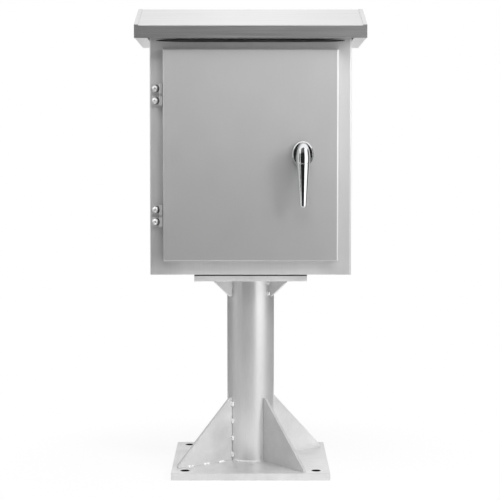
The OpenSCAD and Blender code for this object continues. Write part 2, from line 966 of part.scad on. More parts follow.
// Sheet box with all its front edges bent: where its plan and its side view meet
module bent_box(half_w, front, back, low, high, r) {
    intersection() {
        translate([0, 0, low])
            linear_extrude(high - low)
                bent_plan(half_w, front, back, r);
        across(2 * half_w)
            bent_side(front, back, low, high, r);
    }
}

// Folded door pan with the hole for the lock
module door_panel() {
    color(stainless)
        difference() {
            bent_box(door_x, door_front_y, door_back_y, door_z0, door_z1, door_bend_r);
            bent_box(
                door_x - sheet_t, door_inner_y, door_back_y + over,
                door_z0 + sheet_t, door_z1 - sheet_t, door_bend_r - sheet_t
            );
            at_lock()
                translate([0, 0, -sheet_t - over])
                    cylinder(d = lock_barrel_d + 2 * hole_clear, h = sheet_t + 2 * over);
        }
}

// Foam ring inside the door, facing the edge of the rain lip
module door_seal() {
    centre_x = opening_x + sheet_t / 2;
    centre_z = (opening_z1 - opening_z0 + sheet_t) / 2;
    outer_x = centre_x + seal_w / 2;
    outer_z = centre_z + seal_w / 2;
    inner_x = centre_x - seal_w / 2;
    inner_z = centre_z - seal_w / 2;
    color(rubber)
        translate([0, 0, door_mid])
            upright(door_inner_y, lip_front_y - seal_clear)
                difference() {
                    rounded_square(2 * outer_x, 2 * outer_z, 3);
                    square([2 * inner_x, 2 * inner_z], center = true);
                }
}

// Round rubber washer, a little narrower than the rosette
module lock_washer() {
    color(rubber)
        at_lock()
            ring(rosette_w - 2 * rosette_edge, lock_washer_t, lock_barrel_d + 2 * hole_clear);
}

// Oval blank of the rosette, standing on z = 0, with its rim drawn in towards the top
module oval_blank(h, draw_in) {
    scale([1, rosette_len / rosette_w, 1])
        cylinder(d1 = rosette_w, d2 = rosette_w - 2 * draw_in, h = h);
}

// Rosette with a chamfered rim, in one casting with the threaded barrel through the door
module lock_body() {
    rim = rosette_h - rosette_edge;
    color(chrome)
        at_lock()
            difference() {
                union() {
                    translate([0, 0, lock_washer_t])
                        oval_blank(rim, 0);
                    translate([0, 0, lock_washer_t + rim])
                        oval_blank(rosette_edge, rosette_edge);
                    translate([0, 0, barrel_end])
                        cylinder(d = lock_barrel_d, h = lock_washer_t - barrel_end);
                }
                translate([0, 0, barrel_end - over])
                    cylinder(d = spindle_d + 2 * running_fit, h = rosette_top - barrel_end + 2 * over);
            }
}

module lock_nut() {
    color(zinc)
        at_lock()
            translate([0, 0, -sheet_t - lock_nut_t])
                hex_nut(lock_nut_w, lock_nut_t, lock_barrel_d + 2 * thread_fit);
}

// Crowned lever form, drawn in by the given wall: an oval head, a taper and a blunt tip
module lever_form(wall) {
    translate([0, 0, lever_axis]) {
        translate([0, head_at, 0])
            scale([1, (lever_head_len - wall) / (head_r - wall), 1])
                sphere(head_r - wall);
        translate([0, head_at, 0])
            rotate([90, 0, 0])
                cylinder(r1 = head_r - wall, r2 = tip_r - wall, h = head_at - tip_at);
        translate([0, tip_at, 0])
            rotate([90, 0, 0])
                cylinder(r1 = tip_r - wall, r2 = tip_r - wall - tip_chamfer, h = tip_chamfer);
    }
}

// Neck under the lever that slopes from the hub into the arm
module lever_neck() {
    end_r = lever_r_at(neck_end) - 1;
    intersection() {
        translate([0, 0, lever_back - neck_depth])
            linear_extrude(neck_depth) {
                circle(hub_r);
                polygon([[-hub_r, 0], [hub_r, 0], [end_r, neck_end], [-end_r, neck_end]]);
            }
        across(hub_d)
            polygon([
                [hub_r, lever_back - neck_depth], [hub_r, lever_back],
                [neck_end, lever_back], [-hub_r, lever_back - neck_depth]
            ]);
    }
}

// Cast lever: hub, neck, arm, key boss and the eye that carries the cap's pin
module lever() {
    arm_top = -cap_seam - cap_gap;
    color(chrome)
        at_lock()
            difference() {
                union() {
                    difference() {
                        union() {
                            translate([0, 0, hub_base])
                                cylinder(r1 = hub_r + 1, r2 = hub_r, h = lever_back - hub_base);
                            lever_neck();
                            intersection() {
                                lever_form(0);
                                block([-head_r, -lever_len - over, lever_back], [head_r, arm_top, lever_axis + head_r]);
                            }
                            translate([0, 0, lever_back - 1])
                                cylinder(r = boss_r, h = boss_top - lever_back + 1);
                        }
                        translate([0, pivot_at, pivot_out])
                            rotate([0, 90, 0])
                                cylinder(r = pivot_relief_r, h = 2 * head_r, center = true);
                    }
                    across(pivot_web_w) {
                        translate([pivot_at, pivot_out])
                            circle(pivot_eye_r);
                        translate([boss_r - 3, pivot_out - 1.8])
                            square([pivot_at - boss_r + 3, 3.6]);
                    }
                }
                translate([0, 0, plug_bottom - running_fit])
                    cylinder(d = plug_d + 2 * running_fit, h = boss_top - plug_bottom + over);
                translate([0, 0, hub_base - over])
                    cylinder(d = spindle_d + 2 * thread_fit, h = spindle_top - hub_base + over + thread_fit);
                translate([0, pivot_at, pivot_out])
                    rotate([0, 90, 0])
                        cylinder(d = pivot_pin_d + 2 * thread_fit, h = 2 * pivot_web_w, center = true);
            }
}

module spindle() {
    color(zinc)
        at_lock()
            difference() {
                union() {
                    translate([0, 0, cam_front])
                        cylinder(d = spindle_d, h = spindle_top - cam_front);
                    translate([-spindle_square / 2, -spindle_square / 2, cam_back])
                        cube([spindle_square, spindle_square, cam_t]);
                }
                translate([0, 0, cam_back - over])
                    cylinder(d = cam_screw_d + 2 * thread_fit, h = cam_screw_depth + over);
            }
}

// Latch cam, shown turned upwards and so clear of the frame
module cam() {
    reach = cam_len - cam_tip_r;
    hole = spindle_square + 2 * thread_fit;
    color(zinc)
        at_lock()
            translate([0, 0, cam_back])
                linear_extrude(cam_t)
                    difference() {
                        union() {
                            circle(d = cam_w);
                            polygon([[-cam_w / 2, 0], [cam_w / 2, 0], [cam_tip_r, reach], [-cam_tip_r, reach]]);
                            translate([0, reach])
                                circle(cam_tip_r);
                        }
                        square([hole, hole], center = true);
                    }
}

module cam_screw() {
    color(zinc)
        at_lock() {
            translate([0, 0, cam_back - cam_flange_t])
                cylinder(d = cam_flange_d, h = cam_flange_t);
            translate([0, 0, cam_back - cam_flange_t - cam_head_h])
                hex_bar(cam_head_w, cam_head_h);
            translate([0, 0, cam_back])
                cylinder(d = cam_screw_d, h = cam_screw_depth - 1);
        }
}

module cap_pin() {
    color(zinc)
        at_lock()
            translate([0, pivot_at, pivot_out])
                rotate([0, 90, 0])
                    cylinder(d = pivot_pin_d, h = pivot_web_w + 2 * (cap_gap + pivot_ear_t), center = true);
}

// Hollow dust cap over the key boss, with two ears on the pin behind its crown
module dust_cap() {
    cap_back = lever_back + cap_gap;
    ear_x = pivot_web_w / 2 + cap_gap;
    zone = [head_r, lever_rise, lever_axis + head_r];
    color(chrome)
        at_lock()
            difference() {
                union() {
                    difference() {
                        intersection() {
                            lever_form(0);
                            block([-head_r, -cap_seam, cap_back], zone);
                        }
                        intersection() {
                            lever_form(cap_wall);
                            block([-head_r, cap_wall - cap_seam, cap_back - over], zone);
                        }
                    }
                    intersection() {
                        lever_form(cap_wall / 2);
                        for (s = [-1, 1])
                            translate([s * (ear_x + pivot_ear_t / 2), 0, 0])
                                across(pivot_ear_t) {
                                    translate([pivot_at, pivot_out])
                                        circle(pivot_ear_r);
                                    translate([pivot_at, pivot_out - 1.5])
                                        square([lever_rise - pivot_at, 4.5]);
                                }
                    }
                }
                translate([0, pivot_at, pivot_out])
                    rotate([0, 90, 0])
                        cylinder(d = pivot_pin_d + 2 * running_fit, h = lever_head_w, center = true);
            }
}

module key_plug() {
    color(brass)
        at_lock()
            difference() {
                translate([0, 0, plug_bottom])
                    cylinder(d = plug_d, h = boss_top - plug_bottom);
                translate([-plug_slot_w / 2, -plug_slot_len / 2, boss_top - plug_slot_depth])
                    cube([plug_slot_w, plug_slot_len, plug_slot_depth + over]);
            }
}

base_plate();
post();
base_gusset_front_right();
base_gusset_rear_right();
base_gusset_rear_left();
base_gusset_front_left();
top_plate();
top_gusset_front_right();
top_gusset_rear_right();
top_gusset_rear_left();
top_gusset_front_left();
flange_gasket();
flange_washers();
flange_bolts();
cabinet_shell();
back_panel();
rain_hood();
hood_bracket_left();
hood_bracket_right();
hood_bolts();
hood_nuts();
mounting_plate();
mounting_studs();
mounting_washers();
mounting_nuts();
earth_stud();
earth_nut();
cable_grommet();
upper_hinge_top_knuckle();
upper_hinge_bottom_knuckle();
lower_hinge_top_knuckle();
lower_hinge_bottom_knuckle();
hinge_bolts();
hinge_nuts();
upper_hinge_pin();
lower_hinge_pin();
upper_door_lug();
lower_door_lug();
door_panel();
door_seal();
lock_washer();
lock_body();
lock_nut();
lever();
spindle();
cam();
cam_screw();
cap_pin();
dust_cap();
key_plug();
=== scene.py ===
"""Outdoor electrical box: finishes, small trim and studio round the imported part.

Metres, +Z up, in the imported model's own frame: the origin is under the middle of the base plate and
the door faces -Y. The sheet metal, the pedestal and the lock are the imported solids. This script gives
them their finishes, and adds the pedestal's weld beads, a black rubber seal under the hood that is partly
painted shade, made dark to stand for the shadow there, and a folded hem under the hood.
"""
import json
from math import cos, pi, radians, sin

import bpy
import numpy as np
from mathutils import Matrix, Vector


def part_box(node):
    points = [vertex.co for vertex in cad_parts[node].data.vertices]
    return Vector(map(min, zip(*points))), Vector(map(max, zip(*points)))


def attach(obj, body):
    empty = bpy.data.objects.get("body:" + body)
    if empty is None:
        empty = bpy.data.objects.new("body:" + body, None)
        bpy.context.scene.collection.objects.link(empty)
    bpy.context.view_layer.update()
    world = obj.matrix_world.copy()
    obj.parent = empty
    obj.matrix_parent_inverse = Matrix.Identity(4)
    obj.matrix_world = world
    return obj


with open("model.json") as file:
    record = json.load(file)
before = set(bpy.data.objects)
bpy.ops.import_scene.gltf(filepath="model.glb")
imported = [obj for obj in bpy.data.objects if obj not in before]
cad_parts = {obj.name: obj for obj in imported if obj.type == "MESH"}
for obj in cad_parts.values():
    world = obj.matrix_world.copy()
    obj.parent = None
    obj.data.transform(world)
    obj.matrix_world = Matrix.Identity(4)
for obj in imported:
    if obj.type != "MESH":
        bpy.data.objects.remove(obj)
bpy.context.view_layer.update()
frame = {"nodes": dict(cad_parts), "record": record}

NODES = frame["nodes"]
SLOT_OF = {part["node"]: part["material_slot"] for part in frame["record"]["subparts"]}

# Pedestal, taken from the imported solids
PLATE_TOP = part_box("base_plate")[1][2]
PLATE_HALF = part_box("base_plate")[1][0]
POST_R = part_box("post")[1][0]
POST_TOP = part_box("post")[1][2]
JOINT_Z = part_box("top_plate")[1][2]
ANCHOR_AT = 0.1305
ANCHOR_R = 0.009

# Gussets, as turns from straight ahead
GUSSET_T = 0.006
BASE_TURNS = [radians(36 + 90 * k) for k in range(4)]
TOP_TURNS = [radians(a) for a in (53, 127, 233, 307)]

# Cabinet front and the front edge of the hood, taken from the imported solids, and the given height of the
# fascia's lower edge
FRONT_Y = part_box("cabinet_shell")[0][1]
HOOD_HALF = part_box("rain_hood")[1][0]
HOOD_FRONT_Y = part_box("rain_hood")[0][1]
FASCIA_Z = 0.8742

# Folded hem on the lower edge of the hood's fascia
HEM_H = 0.0034
HEM_T = 0.0016
HEM_PROUD = 0.0001
HEM_LAP = 0.001

# Black rubber seal between the cabinet front and the hood, partly painted shade: dark and sized to stand for
# the shadow under the hood's front
SEAL_AND_SHADE_R = 0.0032
SEAL_AND_SHADE_Z = 0.8674
SEAL_AND_SHADE_HALF = 0.186

# Hinge bolts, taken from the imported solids
BOLT_LOW, BOLT_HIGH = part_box("hinge_bolts")
BOLT_X = (BOLT_LOW[0] + BOLT_HIGH[0]) / 2
BOLT_R = (BOLT_HIGH[0] - BOLT_LOW[0]) / 2
BOLT_OFFSET = 0.012
HINGE_MID_Z = (BOLT_LOW[2] + BOLT_HIGH[2]) / 2
HINGE_HALF = (BOLT_HIGH[2] - BOLT_LOW[2]) / 2 - BOLT_R - BOLT_OFFSET
# How far to the right of each bolt head the painted shade beside it is centred
BOLT_SHADE_SHIFT = 0.0022

# Weld beads: sections
BEAD_R = 0.0030
TACK_R = 0.0044
RIPPLE_PITCH = 0.0026
RIPPLE_DEPTH = 0.10
RING_STEP = 0.0005
RING_SIDES = 14

# Weld beads: places along the seams
GUSSET_CLEAR = 0.001
SEAM_SINK = 0.0002
BASE_TACK_Z = [PLATE_TOP + h for h in (0.012, 0.046, 0.081, 0.116)]
BASE_TACK_LENGTH = 0.011
BASE_STITCH_OUT = (0.075, 0.112, 0.150)
TOP_TACK_Z = [POST_TOP - 0.007, POST_TOP - 0.030]
TOP_TACK_LENGTH = 0.009
TOP_STITCH_OUT = (0.070,)
STITCH_LENGTH = 0.017

# Camera, fitted to the corners of the object in the photograph
CAMERA_AT = (-0.0012, -3.3567, 0.7167)
CAMERA_DOWN = radians(3.766)
CAMERA_LENS = 117.99
CAMERA_SHIFT = -0.05
SENSOR_WIDTH = 36.0


# Small trim: weld beads, a seal that is partly painted shade, and hem


def mesh_object(name, vertices, faces):
    """A new object with a mesh of its own, linked into the scene."""
    mesh = bpy.data.meshes.new(name)
    mesh.from_pydata(vertices, [], faces)
    made = bpy.data.objects.new(name, mesh)
    bpy.context.collection.objects.link(made)
    return made


def bead(path, side, up, radius, ripple_depth=RIPPLE_DEPTH):
    """Vertices and faces of one bead: a round section carried along a path of points.

    At arc length s the section's radius is the bead's radius, times a ripple
    1 - depth * |sin(pi s / pitch)|, times an end taper (1 - t^6)^(1/2), where t runs from -1 to 1
    along the path. The first and last ring are single points.
    """
    steps = np.linalg.norm(np.diff(path, axis=0), axis=1)
    s = np.concatenate([[0.0], np.cumsum(steps)])
    t = 2 * s / s[-1] - 1
    ripple = 1 - ripple_depth * np.abs(np.sin(pi * s / RIPPLE_PITCH))
    r = radius * ripple * np.sqrt(np.clip(1 - t ** 6, 0, 1))
    a = np.linspace(0, 2 * pi, RING_SIDES, endpoint=False)
    ring = np.cos(a)[None, :, None] * side[:, None, :] + np.sin(a)[None, :, None] * up[:, None, :]
    points = path[1:-1, None, :] + r[1:-1, None, None] * ring[1:-1]
    rings, sides = points.shape[:2]
    here = np.arange(rings * sides).reshape(rings, sides)
    turned = np.roll(here, -1, axis=1)
    quads = np.stack([here[:-1], turned[:-1], turned[1:], here[1:]], axis=-1).reshape(-1, 4)
    first, last = rings * sides, rings * sides + 1
    start_fan = np.stack([np.full(sides, first), turned[0], here[0]], axis=-1)
    end_fan = np.stack([np.full(sides, last), here[-1], turned[-1]], axis=-1)
    vertices = np.concatenate([points.reshape(-1, 3), path[[0, -1]]])
    return vertices, quads.tolist() + start_fan.tolist() + end_fan.tolist()


def straight_bead(start, end, up, radius, ripple_depth=RIPPLE_DEPTH):
    """A bead on the straight line between two points; up is any direction across it."""
    start, end, up = (np.asarray(v, float) for v in (start, end, up))
    length = np.linalg.norm(end - start)
    along = (end - start) / length
    t = np.linspace(0, 1, max(8, int(length / RING_STEP)))[:, None]
    path = start + t * (end - start)
    side = np.broadcast_to(np.cross(up, along), path.shape)
    return bead(path, side, np.broadcast_to(up, path.shape), radius, ripple_depth)


def arc_bead(r, z, turn0, turn1, radius):
    """A bead on a level arc round the post; its two turns are measured from straight ahead."""
    turns = np.linspace(turn0, turn1, max(8, int(r * abs(turn1 - turn0) / RING_STEP)))
    outwards = np.stack([np.sin(turns), -np.cos(turns), np.zeros_like(turns)], axis=-1)
    path = r * outwards + np.array([0, 0, z])
    up = np.broadcast_to(np.array([0.0, 0.0, 1.0]), path.shape)
    return bead(path, -outwards, up, radius)


def gusset_point(turn, out, across, z):
    """Point in a gusset's directions: out from the post's axis, across its thickness, and height."""
    x = out * sin(turn) + across * cos(turn)
    y = -out * cos(turn) + across * sin(turn)
    return np.array([x, y, z])


def bead_piece(name, beads):
    """One mesh of all the given beads, smooth shaded, that rides with the cabinet."""
    vertices, faces, count = [], [], 0
    for points, polygons in beads:
        vertices.append(points)
        faces += [[count + i for i in polygon] for polygon in polygons]
        count += len(points)
    piece = mesh_object(name, np.concatenate(vertices).tolist(), faces)
    piece.data.shade_smooth()
    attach(piece, "cabinet")
    return piece


def ring_welds(turns, z, radius):
    """Beads on the four arcs of the post between its gussets."""
    gap = (GUSSET_T / 2 + GUSSET_CLEAR) / POST_R
    ends = turns[1:] + [turns[0] + 2 * pi]
    return [arc_bead(POST_R, z, a + gap, b - gap, radius) for a, b in zip(turns, ends)]


def post_tacks(turns, side, heights, length):
    """Short upright beads between one face of each gusset and the post; side is 1 or -1."""
    out, across = POST_R - SEAM_SINK, side * GUSSET_T / 2
    return [
        straight_bead(gusset_point(turn, out, across, z - length / 2),
                      gusset_point(turn, out, across, z + length / 2),
                      (sin(turn), -cos(turn), 0), TACK_R)
        for turn in turns for z in heights
    ]


def plate_stitches(turns, side, z, places, length):
    """Short level beads between one face of each gusset and its plate; side is 1 or -1."""
    across = side * GUSSET_T / 2
    return [
        straight_bead(gusset_point(turn, out - length / 2, across, z),
                      gusset_point(turn, out + length / 2, across, z),
                      (0, 0, 1), BEAD_R)
        for turn in turns for out in places
    ]


def hem_piece(name):
    """Folded hem under the hood's front: a rectangle carried along the fascia's lower edge.

    The rectangle is HEM_T thick. Its outer face stands a little proud of the fascia, and it laps over
    the edge.
    """
    outer, inner = -HEM_PROUD, HEM_T
    profile = np.array([(outer, HEM_LAP), (outer, -HEM_H), (inner, -HEM_H), (inner, HEM_LAP)])
    ends = np.array([-HOOD_HALF, HOOD_HALF])
    points = np.zeros((2, 4, 3))
    points[..., 0] = ends[:, None]
    points[..., 1] = HOOD_FRONT_Y + profile[None, :, 0]
    points[..., 2] = FASCIA_Z + profile[None, :, 1]
    faces = [(k, (k + 1) % 4, 4 + (k + 1) % 4, 4 + k) for k in range(4)]
    faces += [(3, 2, 1, 0), (4, 5, 6, 7)]
    piece = mesh_object(name, points.reshape(-1, 3).tolist(), faces)
    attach(piece, "cabinet")
    return piece


WELDS = [
    bead_piece("post_foot_weld", ring_welds(BASE_TURNS, PLATE_TOP, BEAD_R)),
    bead_piece("post_head_weld", ring_welds(TOP_TURNS, POST_TOP, BEAD_R)),
    bead_piece("base_gusset_tacks", post_tacks(BASE_TURNS, 1, BASE_TACK_Z, BASE_TACK_LENGTH)),
    bead_piece("base_gusset_stitches",
               plate_stitches(BASE_TURNS, 1, PLATE_TOP, BASE_STITCH_OUT, STITCH_LENGTH)),
    bead_piece("top_gusset_tacks", post_tacks(TOP_TURNS, -1, TOP_TACK_Z, TOP_TACK_LENGTH)),
    bead_piece("top_gusset_stitches",
               plate_stitches(TOP_TURNS, 1, POST_TOP, TOP_STITCH_OUT, STITCH_LENGTH)),
]
# A black rubber seal under the hood's front, partly painted shade: it stands for the shadow there
seal_and_shade_line = straight_bead((-SEAL_AND_SHADE_HALF, FRONT_Y, SEAL_AND_SHADE_Z), (SEAL_AND_SHADE_HALF, FRONT_Y, SEAL_AND_SHADE_Z), (0, 0, 1),
                          SEAL_AND_SHADE_R, ripple_depth=0.0)
HOOD_SEAL_AND_SHADE = bead_piece("hood_seal_and_shade", [seal_and_shade_line])
HOOD_HEM = hem_piece("hood_hem")


# Finishes


class Nodes:
    """The shader nodes of a material or world; an input takes a value, or the socket that feeds it."""

    def __init__(self, owner):
        owner.use_nodes = True
        self.tree = owner.node_tree

    def node(self, kind, inputs=None, **settings):
        """Adds a node, with its settings and its inputs."""
        made = self.tree.nodes.new(kind)
        for key, value in settings.items():
            setattr(made, key, value)
        for key, value in (inputs or {}).items():
            self.feed(made.inputs[key], value)
        return made

    def feed(self, socket, value):
        """Links an output socket to a socket, or sets its value."""
        if isinstance(value, bpy.types.NodeSocket):
            self.tree.links.new(value, socket)
        else:
            socket.default_value = value

    def math(self, operation, a, b=0.0):
        """Result of one Math node."""
        return self.node("ShaderNodeMath", {0: a, 1: b}, operation=operation).outputs["Value"]

    def vector_math(self, operation, inputs):
        """Outputs of one Vector Math node."""
        return self.node("ShaderNodeVectorMath", inputs, operation=operation).outputs

    def axes(self, vector):
        """The X, Y and Z of a vector."""
        return self.node("ShaderNodeSeparateXYZ", {"Vector": vector}).outputs

    def show(self, surface):
        """Makes a shader the surface of the material."""
        self.feed(self.tree.nodes["Material Output"].inputs["Surface"], surface)


class Finish(Nodes):
    """A material with one Principled shader, whose sockets are set by name."""

    def __init__(self, name, metallic):
        self.material = bpy.data.materials.new(name)
        super().__init__(self.material)
        self.shader = self.tree.nodes["Principled BSDF"]
        self.place = self.node("ShaderNodeTexCoord").outputs["Object"]
        self.set("Metallic", metallic)

    def set(self, socket, value):
        """Sets or links one socket of the Principled shader."""
        self.feed(self.shader.inputs[socket], value)

    def noise(self, scale, stretch=(1, 1, 1), detail=3.0, roughness=0.55):
        """Noise from 0 to 1 in the object's space, at a scale per metre, stretched along the axes."""
        moved = self.node("ShaderNodeMapping", {"Vector": self.place, "Scale": stretch})
        made = self.node("ShaderNodeTexNoise", {
            "Vector": moved.outputs["Vector"], "Scale": scale, "Detail": detail, "Roughness": roughness,
        })
        return made.outputs["Fac"]

    def between(self, value, low, high, from_low=0.3, from_high=0.7):
        """Value carried from one range to another, with its ends held."""
        made = self.node("ShaderNodeMapRange", {
            "Value": value, "From Min": from_low, "From Max": from_high, "To Min": low, "To Max": high,
        })
        return made.outputs["Result"]

    def tones(self, value, stops):
        """Colour ramp over value; stops are (position, colour) pairs."""
        made = self.node("ShaderNodeValToRGB", {"Fac": value})
        ramp = made.color_ramp
        while len(ramp.elements) < len(stops):
            ramp.elements.new(0.5)
        for element, (position, colour) in zip(ramp.elements, stops):
            element.position = position
            element.color = (*colour, 1)
        return made.outputs["Color"]

    def scaled(self, colour, factor):
        """Colour times a factor."""
        return self.vector_math("SCALE", {0: colour, "Scale": factor})["Vector"]

    def facing(self, axis):
        """How far the surface faces along an axis, from -1 to 1."""
        return self.axes(self.node("ShaderNodeTexCoord").outputs["Normal"])[axis]

    def relief(self, height, depth, edge=0.0009):
        """Bump of a depth in metres, on edges rounded by the bevel normal."""
        soft_edge = self.node("ShaderNodeBevel", {"Radius": edge}, samples=4)
        made = self.node("ShaderNodeBump", {
            "Height": height, "Distance": depth, "Strength": 1.0, "Normal": soft_edge.outputs["Normal"],
        })
        self.set("Normal", made.outputs["Normal"])


# Grain of the brushed sheets, as how far the noise is stretched along each axis
SHEET_GRAIN = (1, 1, 0.02)
POST_GRAIN = (1, 1, 0.04)
HOOD_GRAIN = (0.01, 1, 1)

# A bend starts to take its painted highlight where it faces BEND_START along an axis, and has it at BEND_FULL
BEND_START = 0.1
BEND_FULL = 0.3

# Half widths between which the painted light on the lower strip of the cabinet's front ends
BORDER_X = (0.13, 0.185)


def grey(value):
    """Neutral colour."""
    return (value, value, value)


def brushed_steel(name, tone, stretch, roughness, metallic, grain=0.05, cloud=0.05, bend_highlight=1.0,
                  height_shade=(0, 1, 1, 1), border_light=1.0):
    """Brushed sheet: fine grain lines, stretched along the sanding, over soft clouds in the sheen.

    The bends that face +X are lighter by the factor given for the bends, a painted highlight, and those that
    face -X or down by its square root, also a painted highlight. From the first height of the height gradient
    up to its second the tone is carried from its third value, a factor, to its fourth: painted shade, darker
    towards the bottom. The middle of the front below the first height is lighter by its factor: painted
    light.
    """
    low_z, high_z, low_tone, high_tone = height_shade
    finish = Finish(name, metallic)
    lines = finish.noise(900, stretch, detail=4)
    clouds = finish.noise(5, detail=2)
    shade = finish.math("ADD", finish.between(lines, -grain, grain), finish.between(clouds, -cloud, cloud))
    colour = finish.tones(finish.math("ADD", shade, 0.5), [(0.3, grey(tone * 0.8)), (0.7, grey(tone * 1.2))])
    # Painted highlight: bends that face +X are made lighter
    right_bend_light = finish.between(finish.facing("X"), 1.0, bend_highlight, BEND_START, BEND_FULL)
    colour = finish.scaled(colour, right_bend_light)
    # Painted highlight: bends that face -X or down are made lighter by the square root of the same factor
    for axis in ("X", "Z"):
        turned = finish.between(finish.facing(axis), bend_highlight ** 0.5, 1.0, -BEND_FULL, -BEND_START)
        colour = finish.scaled(colour, turned)
    place = finish.axes(finish.place)
    # Painted shade: the tone is darker towards the bottom and lighter towards the top
    colour = finish.scaled(colour, finish.between(place["Z"], low_tone, high_tone, low_z, high_z))
    # Painted light: the middle of the front below the first height is made lighter
    lower = finish.between(place["Z"], border_light - 1.0, 0.0, low_z - 0.005, low_z + 0.015)
    front = finish.between(finish.facing("Y"), 1.0, 0.0, -0.9, -0.5)
    middle = finish.between(finish.math("ABSOLUTE", place["X"]), 1.0, 0.2, *BORDER_X)
    share = finish.math("MULTIPLY", front, middle)
    colour = finish.scaled(colour, finish.math("ADD", finish.math("MULTIPLY", lower, share), 1.0))
    finish.set("Base Color", colour)
    finish.set("Roughness", finish.between(lines, roughness - 0.05, roughness + 0.05))
    finish.relief(lines, 0.00003)
    return finish


def hood_steel():
    """Brushed sheet of the hood: the grain runs across it. Upright faces, the fascia among them, are darker
    as a painted dark reflection, the slopes are darker towards the ends, and downward faces are lighter as
    painted light.
    """
    finish = Finish("hood_steel", metallic=0.85)
    lines = finish.noise(700, HOOD_GRAIN, detail=5)
    from_middle = finish.math("ABSOLUTE", finish.axes(finish.place)["X"])
    slopes = finish.between(from_middle, 1.02, 0.92, 0.04, HOOD_HALF)
    # Painted dark reflection: upright faces, the fascia among them, are darkened
    upright_shade = finish.between(finish.math("ABSOLUTE", finish.facing("Z")), 0.70, slopes, 0.35, 0.75)
    # Painted light: faces that look down are made lighter
    under = finish.between(finish.facing("Z"), 1.22, 1.0, -0.9, -0.6)
    shade = finish.between(lines, 0.67, 0.83)
    colour = finish.scaled(finish.tones(shade, [(0.0, grey(0)), (1.0, grey(1))]), upright_shade)
    finish.set("Base Color", finish.scaled(colour, under))
    finish.set("Roughness", finish.between(lines, 0.30, 0.42))
    finish.relief(lines, 0.00003, edge=0.0003)
    return finish


def plate_steel(name, tone, metallic, cut_edge=1.0, holes=False, joint=False):
    """Hot-rolled stainless of the pedestal's plates: cloudy, lightly blasted, with fine pits.

    Slanting cut edges are duller by the factor cut_edge. With holes the walls of the anchor holes are
    painted nearly black, as painted shade, and with joint the top of the plate, in the joint under the
    cabinet's gasket, is painted nearly black, as painted shade.
    """
    finish = Finish(name, metallic)
    clouds = finish.noise(18, detail=5, roughness=0.6)
    pits = finish.noise(1400, detail=2)
    shade = finish.math("ADD", finish.between(clouds, -0.5, 0.5), finish.between(pits, -0.2, 0.2))
    colour = finish.tones(finish.math("ADD", shade, 0.5), [(0.0, grey(tone * 0.9)), (1.0, grey(tone * 1.1))])
    colour = finish.scaled(colour, finish.between(finish.facing("Z"), 1.0, cut_edge, 0.15, 0.30))
    if holes:
        # Painted shade: the walls of the anchor holes are made nearly black
        corner = finish.vector_math("ABSOLUTE", {0: finish.place})["Vector"]
        flat = finish.vector_math("MULTIPLY", {0: corner, 1: (1, 1, 0)})["Vector"]
        away = finish.vector_math("DISTANCE", {0: flat, 1: (ANCHOR_AT, ANCHOR_AT, 0)})["Value"]
        colour = finish.scaled(colour, finish.between(away, 0.04, 1.0, ANCHOR_R + 0.0001, ANCHOR_R + 0.0006))
    if joint:
        # Painted shade: the top of the plate, in the joint under the cabinet's gasket, is made nearly black
        height = finish.axes(finish.place)["Z"]
        colour = finish.scaled(colour, finish.between(height, 1.0, 0.05, JOINT_Z - 0.0013, JOINT_Z - 0.0008))
    finish.set("Base Color", colour)
    finish.set("Roughness", finish.between(clouds, 0.36, 0.48))
    finish.relief(pits, 0.00004)
    return finish


def weld_steel():
    """Bead metal: brushed bright, with greyer patches."""
    finish = Finish("weld_steel", metallic=0.55)
    patches = finish.noise(160, detail=3)
    bright = [(0.30, grey(0.66)), (0.50, grey(0.90)), (0.75, grey(0.97))]
    finish.set("Base Color", finish.tones(patches, bright))
    finish.set("Roughness", finish.between(patches, 0.28, 0.12))
    finish.relief(finish.noise(500, detail=3), 0.0003)
    return finish


def chrome():
    """Polished plating with faint wipe marks in its gloss."""
    finish = Finish("chrome", metallic=1.0)
    wipes = finish.noise(60, (1, 1, 0.25), detail=4)
    finish.set("Base Color", finish.tones(wipes, [(0.3, (0.80, 0.81, 0.82)), (0.7, (0.88, 0.89, 0.90))]))
    finish.set("Roughness", finish.between(wipes, 0.05, 0.10))
    finish.relief(finish.noise(500, detail=2), 0.000004)
    return finish


def satin_steel(name, tone, roughness, metallic, bolt_shade=False):
    """Tumbled stainless of the hinges: fine grain with rubbed patches.

    When asked, there is painted shade beside the bolt heads, in discs round points a set distance to their
    right.
    """
    finish = Finish(name, metallic)
    grain = finish.noise(1600, detail=2)
    rubbed = finish.noise(90, detail=3)
    colour = finish.tones(rubbed, [(0.3, grey(tone * 0.9)), (0.7, grey(tone * 1.1))])
    if bolt_shade:
        # Painted shade: dark discs beside the bolt heads, a little to their right
        place = finish.axes(finish.place)
        from_mid = finish.math("ABSOLUTE", finish.math("SUBTRACT", place["Z"], HINGE_MID_Z))
        from_hinge = finish.math("ABSOLUTE", finish.math("SUBTRACT", from_mid, HINGE_HALF))
        up = finish.math("SUBTRACT", from_hinge, BOLT_OFFSET)
        across = finish.math("SUBTRACT", place["X"], BOLT_X + BOLT_SHADE_SHIFT)
        squares = finish.math("ADD", finish.math("MULTIPLY", up, up), finish.math("MULTIPLY", across, across))
        away = finish.math("SQRT", squares)
        colour = finish.scaled(colour, finish.between(away, 0.10, 1.0, BOLT_R + 0.0003, BOLT_R + 0.0012))
    finish.set("Base Color", colour)
    finish.set("Roughness", finish.between(grain, roughness - 0.05, roughness + 0.05))
    finish.relief(grain, 0.00002)
    return finish


